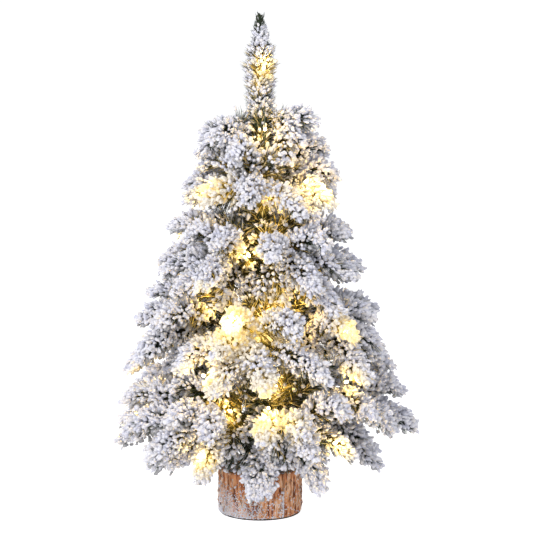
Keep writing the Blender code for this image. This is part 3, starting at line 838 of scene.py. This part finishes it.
# ---------------------------------------------------------------- base
def make_bark():
    """The bark sheet as fibrous ridges and flakes round the core, turned in over its top."""
    low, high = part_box("bark_wrap")
    top, bottom = high.z, low.z - 0.0009
    columns, rows = 560, 64
    gap = 0.0006 / BARK_R
    angles = BARK_SEAM + gap + (tau - 2 * gap) * np.arange(columns) / (columns - 1)

    def ring(radius, z):
        return np.stack([radius * np.cos(angles), radius * np.sin(angles),
                         np.broadcast_to(z, columns)], axis=1)

    def wave(a, z, seed):
        """Uneven waves round the bark, which wander with the height."""
        r = np.random.default_rng(seed)
        total = 0.0
        for k in (7, 13, 22, 37, 61, 97, 139):
            total = total + np.sin(k * a + r.uniform(20, 190) * z + r.uniform(0, tau)) / k**0.45
        return total / 2.2

    verts, faces = [], []
    for j in range(rows):
        f = j / (rows - 1)
        z = bottom + (top - bottom) * f
        ridge = wave(angles + 0.35 * np.sin(z * 130), z, 3) * 0.00055
        flake = np.maximum(0, wave(angles, z * 3.0, 8) - 0.25) * 0.00085
        chip = np.maximum(0, wave(angles, z * 6.0, 5)) * 0.00030
        edge = -0.0012 * max(0.0, 1 - f / 0.05) - 0.0016 * max(0.0, (f - 0.94) / 0.06)**2
        ragged = 0.0010 * np.sin(angles * 31) * np.sin(angles * 17 + 1) * f**12
        verts.append(ring(BARK_R + ridge + flake - chip + edge, z + ragged))
    for reach, drop in ((0.6, 0.0002), (1.0, 0.0009)):
        radius = BARK_R + (BARK_LIP_R - BARK_R) * reach + 0.0004 * wave(angles, 0.3, 4)
        verts.append(ring(radius, top - drop))
    inside = top - 0.0024
    for radius, z in ((BARK_LIP_R, inside), (BARK_INNER_R, inside), (BARK_INNER_R, bottom)):
        verts.append(ring(radius, z))
    rings = len(verts)
    column = np.arange(columns - 1)
    for j in range(rings):
        a, b = j * columns, ((j + 1) % rings) * columns
        faces.append(np.stack([a + column, a + column + 1, b + column + 1], axis=1))
        faces.append(np.stack([a + column, b + column + 1, b + column], axis=1))
    first = np.arange(rings) * columns         # the two cut edges at the seam
    for start, turn in ((first, -1), (first + columns - 1, 1)):
        fan = np.stack([np.full(rings - 2, start[0]), start[1:-1], start[2:]], axis=1)
        faces.append(fan[:, ::turn])
    verts, faces = np.concatenate(verts), np.concatenate(faces)
    finish_piece(mesh_object("bark_sheet", verts, faces, [bark_material()]), ROOT_BODY, "bark",
                 "bark_wrap")


def bark_material():
    """Fibrous reddish bark, dusted with flock low down and most of all at the front left."""
    made = mottled(
        "bark", ((0.33, (0.10, 0.024, 0.012)), (0.42, (0.46, 0.150, 0.060)),
                 (0.51, (0.72, 0.330, 0.150)), (0.61, (0.84, 0.53, 0.34)),
                 (0.72, (0.90, 0.76, 0.66))),
        0.9, 230.0, 0.0012, (1.0, 1.0, 0.22),
    )
    nodes, links = made.node_tree.nodes, made.node_tree.links
    shader = nodes["Principled BSDF"]
    bark_colour = shader.inputs["Base Color"].links[0].from_socket
    grain = noise(made, 850.0, 3.0)
    place = nodes.new("ShaderNodeTexCoord")
    amount = nodes.new("ShaderNodeVectorMath")  # it grows downwards, and to the left
    amount.operation = "DOT_PRODUCT"
    amount.inputs[1].default_value = (-15.0, -1.0, -34.0)
    links.new(place.outputs["Object"], amount.inputs[0])
    both = nodes.new("ShaderNodeMath")
    both.operation = "MULTIPLY_ADD"
    both.inputs[1].default_value = 5.0
    links.new(grain.outputs["Fac"], both.inputs[0])
    links.new(amount.outputs["Value"], both.inputs[2])
    share = nodes.new("ShaderNodeMapRange")
    share.inputs["From Min"].default_value = 2.78
    share.inputs["From Max"].default_value = 2.98
    links.new(both.outputs["Value"], share.inputs["Value"])
    mix = nodes.new("ShaderNodeMix")            # inputs 0, 6 and 7 are the share and the colours
    mix.data_type = "RGBA"
    mix.inputs[7].default_value = (0.92, 0.86, 0.87, 1.0)
    links.new(share.outputs["Result"], mix.inputs[0])
    links.new(bark_colour, mix.inputs[6])
    links.new(mix.outputs[2], shader.inputs["Base Color"])
    return made


def make_bark_snow():
    """Specks of flock on the bark: most low on the left, some on its top edge and its seam."""
    heap = Heap(SNOWS, SNOW_SHARES, SNOWS_LIT, NO_CATCH, ((0.1, 0.8), (0.6, 1.0)), 6, 0.3)
    count = 1900
    angle = np.radians(RNG.normal(218, 40, count))
    angle[::5] = RNG.uniform(0, tau, len(angle[::5]))
    height = 0.002 + 0.046 * RNG.beta(1.0, 2.3, count)
    size = RNG.uniform(0.0003, 0.0010, count)
    side = level(angle)
    foot = side * BARK_SKIN_R + UP * height[:, None]
    heap.add(foot, foot + side * (0.0010 + size[:, None] * 0.6), size)
    count = 420
    side = level(RNG.uniform(0, tau, count))
    foot = side * RNG.uniform(0.037, BARK_SKIN_R, count)[:, None] + UP * 0.0538
    size = RNG.uniform(0.0006, 0.0015, count)
    heap.add(foot, foot + UP * (0.0010 + size[:, None] * 0.5), size)
    count = 90                                  # a run of flock down the seam
    side = level(RNG.normal(BARK_SEAM, 0.012, count))
    foot = side * BARK_SKIN_R + UP * RNG.uniform(0.003, 0.034, count)[:, None]
    size = RNG.uniform(0.0005, 0.0011, count)
    heap.add(foot, foot + side * (0.0012 + size[:, None] * 0.6), size)
    finish_piece(heap.build("bark_flock"), ROOT_BODY, "snow_foliage")


def make_bark_fibres():
    """Loose fibres that lift off the bark."""
    barks = [
        grained("bark_fibre_dark", (0.13, 0.045, 0.022), 0.9, 500.0),
        grained("bark_fibre_tan", (0.60, 0.31, 0.17), 0.9, 500.0),
        grained("bark_fibre_pale", (0.82, 0.66, 0.54), 0.9, 500.0),
    ]
    heap = Heap(barks, (0.30, 0.40, 0.30), SNOWS_LIT, NO_CATCH, ((0.0, 0.6), (0.5, 1.0)), 4, 0.3,
                0.0010)
    count = 760
    side = level(RNG.uniform(0, tau, count))
    foot = side * 0.0498 + UP * RNG.uniform(0.003, 0.046, count)[:, None]
    along = side * RNG.uniform(0.0, 0.0016, count)[:, None]
    along += np.cross(side, UP) * RNG.normal(0.0, 0.0010, count)[:, None]
    along += UP * RNG.uniform(0.004, 0.012, count)[:, None]
    end = foot + along
    end[:, 2] = np.minimum(end[:, 2], 0.0545)
    heap.add(foot, end, RNG.uniform(0.00022, 0.00055, count))
    finish_piece(heap.build("bark_fibres"), ROOT_BODY, "bark")


def dress_cad_nodes():
    """Procedural finishes on the CAD pieces that stay as they are."""
    black = grained("black_plastic_shell", (0.018, 0.018, 0.019), 0.42, 900.0, 0.12, 0.00008)
    felt = mottled("felt", ((0.3, (0.030, 0.028, 0.028)), (0.7, (0.075, 0.070, 0.068))),
                   1.0, 1500.0, 0.0006)
    plaster = mottled("plaster", ((0.3, (0.42, 0.37, 0.32)), (0.7, (0.58, 0.53, 0.47))),
                      0.9, 260.0, 0.0006)
    tape = mottled("green_tape_wrap", ((0.3, (0.020, 0.038, 0.018)), (0.7, (0.050, 0.085, 0.040))),
                   0.6, 220.0, 0.0005, (1.0, 1.0, 2.5))
    finishes = {
        "base_core": plaster, "foot_pad": felt, "trunk_wrap": tape,
        "battery_tray": black, "battery_door": black,
        "switch_slider": grained("grey_plastic_knob", (0.55, 0.55, 0.56), 0.40, 700.0, 0.1,
                                 0.00008),
        "trunk_pole": grained("steel_pole", (0.42, 0.42, 0.43), 0.35, 350.0, 0.12, 0.0001, 1.0),
        "driver_board": mottled(
            "circuit_board", ((0.45, (0.010, 0.090, 0.040)), (0.55, (0.020, 0.160, 0.070))),
            0.4, 420.0, 0.0001),
    }
    sleeve = mottled("cell_sleeve_film",
                     ((0.45, (0.030, 0.034, 0.045)), (0.60, (0.060, 0.066, 0.080))),
                     0.3, 130.0, 0.0001)
    for number in (1, 2, 3):
        finishes[f"battery_{number}"] = sleeve
    for name, made in finishes.items():
        mesh = frame["nodes"][name].data
        if not mesh.materials:
            mesh.materials.append(made)
        for k in range(len(mesh.materials)):
            mesh.materials[k] = made


# ---------------------------------------------------------------- studio
def by_camera(tree, unseen, seen):
    """A value that differs between what the camera sees and what lights the object."""
    path = tree.nodes.new("ShaderNodeLightPath")
    strength = tree.nodes.new("ShaderNodeMapRange")
    strength.inputs["To Min"].default_value = unseen
    strength.inputs["To Max"].default_value = seen
    tree.links.new(path.outputs["Is Camera Ray"], strength.inputs["Value"])
    return strength.outputs["Result"]


def make_floor():
    """A pale floor, which is clear from below."""
    bpy.ops.mesh.primitive_circle_add(vertices=96, radius=9.0, fill_type="NGON")
    floor = bpy.context.object
    floor.name = "studio_floor"
    made = node_material("studio_white", (0.90, 0.90, 0.90), 0.9)
    shader = made.node_tree.nodes["Principled BSDF"]
    shader.inputs["Specular IOR Level"].default_value = 0.0
    shader.inputs["Emission Color"].default_value = (1.0, 1.0, 1.0, 1.0)
    seen = by_camera(made.node_tree, FLOOR_LIGHT, FLOOR_SEEN)
    nodes, links = made.node_tree.nodes, made.node_tree.links
    links.new(seen, shader.inputs["Emission Strength"])
    side = nodes.new("ShaderNodeNewGeometry")
    mix = nodes.new("ShaderNodeMixShader")
    links.new(side.outputs["Backfacing"], mix.inputs[0])
    links.new(shader.outputs["BSDF"], mix.inputs[1])
    links.new(nodes.new("ShaderNodeBsdfTransparent").outputs["BSDF"], mix.inputs[2])
    links.new(mix.outputs["Shader"], nodes["Material Output"].inputs["Surface"])
    floor.data.materials.append(made)
    floor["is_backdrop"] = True


def area_light(name, place, target, size, power, colour=(1.0, 1.0, 1.0)):
    """A round soft light that faces its target."""
    light = bpy.data.lights.new(name, "AREA")
    light.shape = "DISK"
    light.size = size
    light.energy = power
    light.color = colour
    made = bpy.data.objects.new(name, light)
    made.location = place
    aim = Vector(target) - Vector(place)
    made.rotation_euler = aim.to_track_quat("-Z", "Y").to_euler()
    bpy.context.scene.collection.objects.link(made)


def make_studio():
    """Soft daylight from all round, with the main light at the upper left."""
    world = bpy.data.worlds.new("studio")
    world.use_nodes = True
    nodes, links = world.node_tree.nodes, world.node_tree.links
    nodes["Background"].inputs["Color"].default_value = (0.97, 0.98, 1.0, 1.0)
    sky = by_camera(world.node_tree, SKY_LIGHT, SKY_SEEN)
    links.new(sky, nodes["Background"].inputs["Strength"])
    bpy.context.scene.world = world
    area_light("key", (-1.5, -1.7, 1.7), (0, 0, 0.28), 0.8, 39.5, (1.0, 0.985, 0.985))
    area_light("front", (-0.4, -2.4, 0.40), (0, 0, 0.25), 1.0, 7.0)
    area_light("fill", (1.6, -1.3, 1.0), (0, 0, 0.28), 1.2, 6.5, (0.94, 0.95, 1.0))
    area_light("top", (0.2, 0.4, 2.3), (0, 0, 0.3), 1.2, 10.0)
    area_light("back_left", (-1.5, 1.5, 1.3), (0, 0, 0.28), 1.0, 14.0)
    area_light("back_right", (1.6, 1.3, 1.3), (0, 0, 0.28), 1.0, 13.0)
    bpy.context.scene.view_settings.view_transform = "Standard"


def make_camera():
    camera = bpy.data.cameras.new("camera")
    camera.sensor_width = 36.0
    camera.lens = 133.2
    made = bpy.data.objects.new("camera", camera)
    made.location = (0.0077, -2.32, 0.630)
    target = Vector((0.0077, 0.0, 0.2975))
    made.rotation_euler = (target - made.location).to_track_quat("-Z", "Y").to_euler()
    bpy.context.scene.collection.objects.link(made)
    bpy.context.scene.camera = made


# ---------------------------------------------------------------- the scene
make_camera()
for branch_number in SPRIGS:
    make_branch(branch_number)
make_trunk_foliage()
make_leader()
make_trunk_string()
make_bark()
make_bark_snow()
make_bark_fibres()
dress_cad_nodes()
make_floor()
make_studio()

boxes = {"cad": CAD_BOX, "visual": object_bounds()}
{name: [list(corner) for corner in box] for name, box in boxes.items()}
